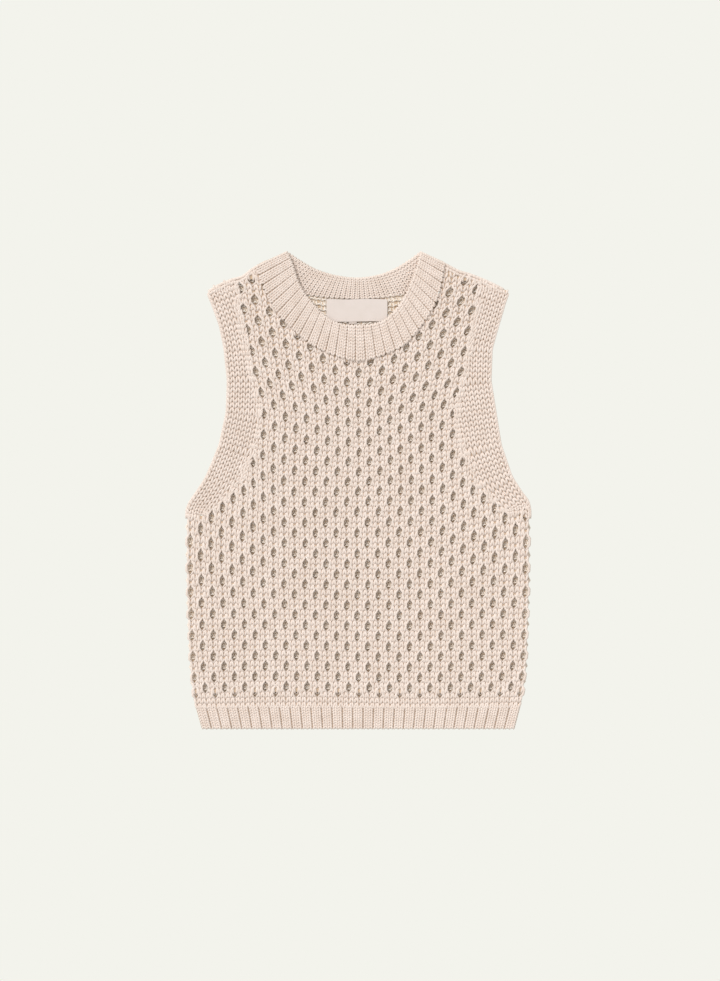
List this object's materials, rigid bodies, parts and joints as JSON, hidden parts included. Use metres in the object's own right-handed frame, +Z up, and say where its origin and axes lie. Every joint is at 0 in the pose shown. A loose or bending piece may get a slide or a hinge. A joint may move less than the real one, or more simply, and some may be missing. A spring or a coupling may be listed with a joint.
{
  "type": "sweater vest",
  "caption": "Sleeveless crew-neck sweater vest in cream openwork knit with ribbed neck and hem, laid out flat.",
  "frame": {"origin": "middle of the footprint, on the surface that the vest lies on", "axes": "+Z up, out of the front of the vest; +Y towards the neck, -Y towards the hem; +X towards the right of the picture, the wearer's left"},
  "size_m": [0.4153, 0.5748, 0.0107],
  "materials": {
    "cotton_knit": "matte chunky cotton yarn",
    "cotton_ribbing": "matte cotton yarn, ribbed",
    "woven_label": "smooth woven satin tape, bare"
  },
  "bodies": {
    "root": {"back_panel": "cotton_knit", "back_hem_rib": "cotton_ribbing", "back_armhole_border_left": "cotton_knit", "back_armhole_border_right": "cotton_knit", "neckband_back": "cotton_ribbing", "size_tab": "woven_label", "neck_label": "woven_label", "front_panel": "cotton_knit", "front_hem_rib": "cotton_ribbing", "front_armhole_border_left": "cotton_knit", "front_armhole_border_right": "cotton_knit", "neckband_front": "cotton_ribbing"}
  },
  "joints": []
}
